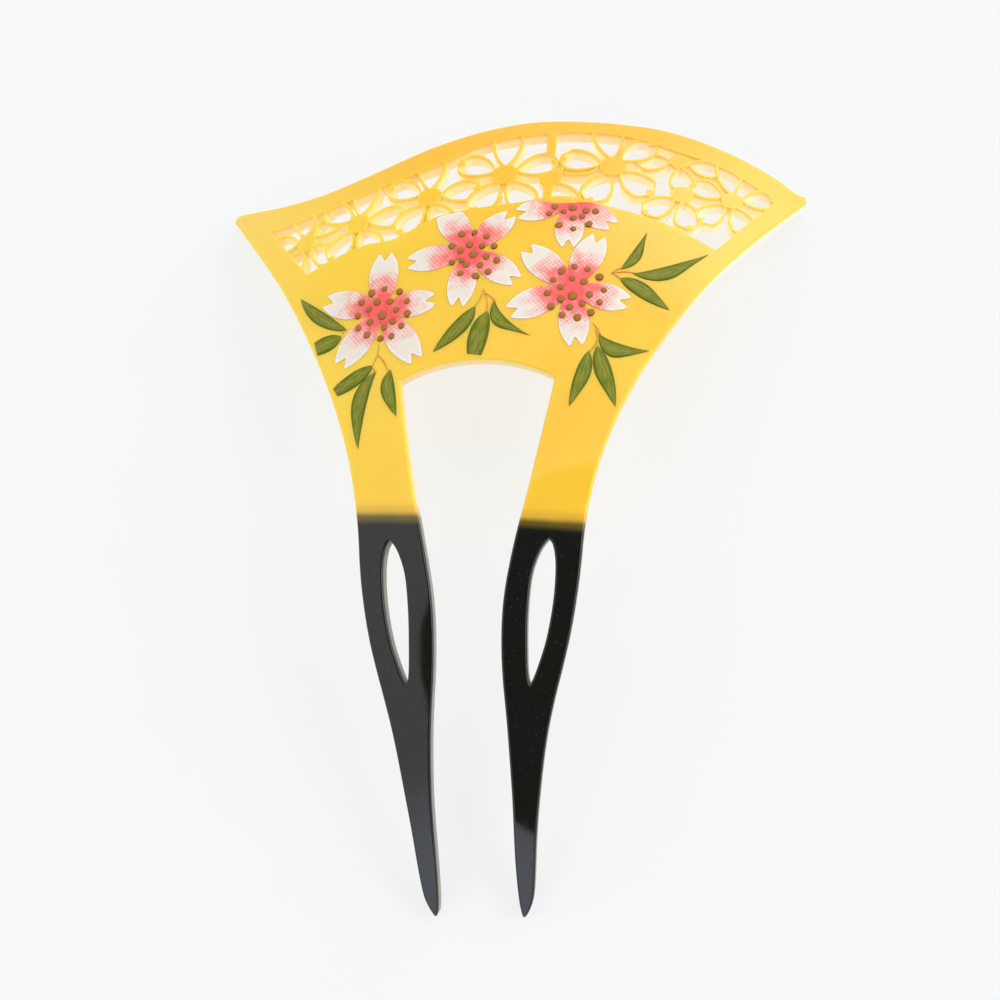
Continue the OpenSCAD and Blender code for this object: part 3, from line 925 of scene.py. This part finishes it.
def make_stems(name, stems, material):
    """Thin lacquer lines, drawn as bevelled curves that bow a little and taper to their ends."""
    curve = bpy.data.curves.new(name, "CURVE")
    curve.dimensions = "3D"
    curve.bevel_depth = STEM_R * MM
    curve.bevel_resolution = 2
    curve.use_fill_caps = True
    curve.resolution_u = 5
    for start, end in stems:
        start, end = Vector(start), Vector(end)
        way = end - start
        bowed = start + way / 2 + Vector((-way.y, way.x)) * STEM_BOW
        spline = curve.splines.new("BEZIER")
        spline.bezier_points.add(2)
        for point, place, size in zip(spline.bezier_points, (start, bowed, end), STEM_SIZES):
            point.co = Vector((place.x, place.y, STEM_LIFT)) * MM
            point.radius = size
            point.handle_left_type = "AUTO"
            point.handle_right_type = "AUTO"
    drawn = bpy.data.objects.new(name, curve)
    bpy.context.collection.objects.link(drawn)
    only(drawn)
    bpy.ops.object.convert(target="MESH")
    piece = bpy.context.object
    bpy.ops.object.mode_set(mode="EDIT")
    bpy.ops.mesh.select_all(action="SELECT")
    bpy.ops.mesh.remove_doubles(threshold=STEM_WELD * MM)
    bpy.ops.mesh.normals_make_consistent(inside=False)
    bpy.ops.object.mode_set(mode="OBJECT")
    piece.data.shade_smooth()
    return finish(lay_on_dome(piece), material)


make_sheet()
petal_lacquer = petal_material()
head_lacquer = head_material()
model = head_model()
for name, (centre, heads) in BLOSSOMS.items():
    make_petals(name, centre, petal_lacquer)
    make_heads(model, name.replace("blossom", "stamens"), centre, heads, head_lacquer)
bpy.data.objects.remove(model)
leaf_lacquer = leaf_material()
stem_lacquer = stem_material()
for name, (leaves, stems) in SPRAYS.items():
    make_leaves(name, leaves, leaf_lacquer)
    make_stems(name.replace("leaves", "stems"), stems, stem_lacquer)


# Floor, light and camera

# The floor's side in metres, and the strength of the light that it gives off
FLOOR_SIZE = 6
FLOOR_GLOW = 0.73


def make_floor():
    """A wide plain pale floor."""
    bpy.ops.object.select_all(action="DESELECT")
    bpy.ops.mesh.primitive_plane_add(size=FLOOR_SIZE)
    floor = bpy.context.object
    floor.name = "floor"
    material, tree, shader = new_material("pale_floor")
    place = node(tree, "ShaderNodeTexCoord").outputs["Object"]
    tone = noise(tree, place, 30, 2)
    put(tree, shader.inputs["Base Color"], blend(tree, tone, (0.21, 0.21, 0.21), (0.23, 0.23, 0.23)))
    shader.inputs["Roughness"].default_value = 0.9
    shader.inputs["Specular IOR Level"].default_value = 0.1
    # The floor gives off light itself, as a light table does
    shader.inputs["Emission Color"].default_value = (0.98, 1.0, 1.0, 1)
    shader.inputs["Emission Strength"].default_value = FLOOR_GLOW
    floor.data.materials.append(material)


def direction(azimuth, elevation):
    """Unit vector towards an azimuth, 0 at -Y and 90 at +X, and an elevation."""
    a, e = math.radians(azimuth), math.radians(elevation)
    return Vector((math.cos(e) * math.sin(a), -math.cos(e) * math.cos(a), math.sin(e)))


# Light from all sides
LIGHT_BASE = (1.06, 1.06, 1.08)
# Soft lights round the ornament, and a shade: [azimuth, elevation, radius, soft rim, added colour]
SOFT_LIGHTS = [
    [95, 40, 22, 26, (2.7, 2.65, 2.6)],
    [162, 22, 16, 20, (1.5, 1.5, 1.55)],
    [-15, 33, 15, 16, (0.68, 0.82, 1.12)],
    [-158, 22, 20, 20, (-0.5, -0.5, -0.5)],
]
# The dark side that the camera stands on
DARK_SIDE = [36, 69, 33, 1]
DARK = (0.05, 0.05, 0.05)


def make_light():
    """The light round the ornament, drawn on the sky by direction."""
    world = bpy.data.worlds.new("studio")
    bpy.context.scene.world = world
    world.use_nodes = True
    tree = world.node_tree
    background = tree.nodes["Background"]
    way = node(tree, "ShaderNodeTexCoord").outputs["Generated"]

    def spread(azimuth, elevation, radius, rim):
        dot = node(tree, "ShaderNodeVectorMath", {0: way, 1: direction(azimuth, elevation)},
                   operation="DOT_PRODUCT").outputs["Value"]
        angle = maths(tree, "ARCCOSINE", dot)
        return fade(tree, angle, math.radians(radius + rim / 2), math.radians(radius - rim / 2))

    total = LIGHT_BASE
    for azimuth, elevation, radius, rim, added in SOFT_LIGHTS:
        share = spread(azimuth, elevation, radius, rim)
        scaled = node(tree, "ShaderNodeVectorMath", {0: added, "Scale": share}, operation="SCALE")
        summed = node(tree, "ShaderNodeVectorMath", {0: total, 1: scaled.outputs[0]}, operation="ADD")
        total = summed.outputs[0]
    put(tree, background.inputs["Color"], blend(tree, spread(*DARK_SIDE), total, DARK))
    background.inputs["Strength"].default_value = 1.0


def make_camera():
    """The camera at the photograph's angle."""
    camera = bpy.data.objects.new("camera", bpy.data.cameras.new("camera"))
    bpy.context.collection.objects.link(camera)
    camera.data.lens = CAMERA_LENS
    camera.data.sensor_width = CAMERA_SENSOR
    camera.data.clip_start, camera.data.clip_end = CAMERA_CLIP
    turn = Matrix.Rotation(math.radians(CAMERA_AZIMUTH), 3, "Z")
    turn = turn @ Matrix.Rotation(math.radians(90 - CAMERA_ELEVATION), 3, "X")
    turn = turn @ Matrix.Rotation(math.radians(CAMERA_ROLL), 3, "Z")
    place = CAMERA_AIM + turn @ Vector((0, 0, CAMERA_DISTANCE))
    camera.matrix_world = Matrix.Translation(place) @ turn.to_4x4()
    bpy.context.scene.camera = camera


make_floor()
make_light()
make_camera()
bpy.context.scene.view_settings.view_transform = "Standard"
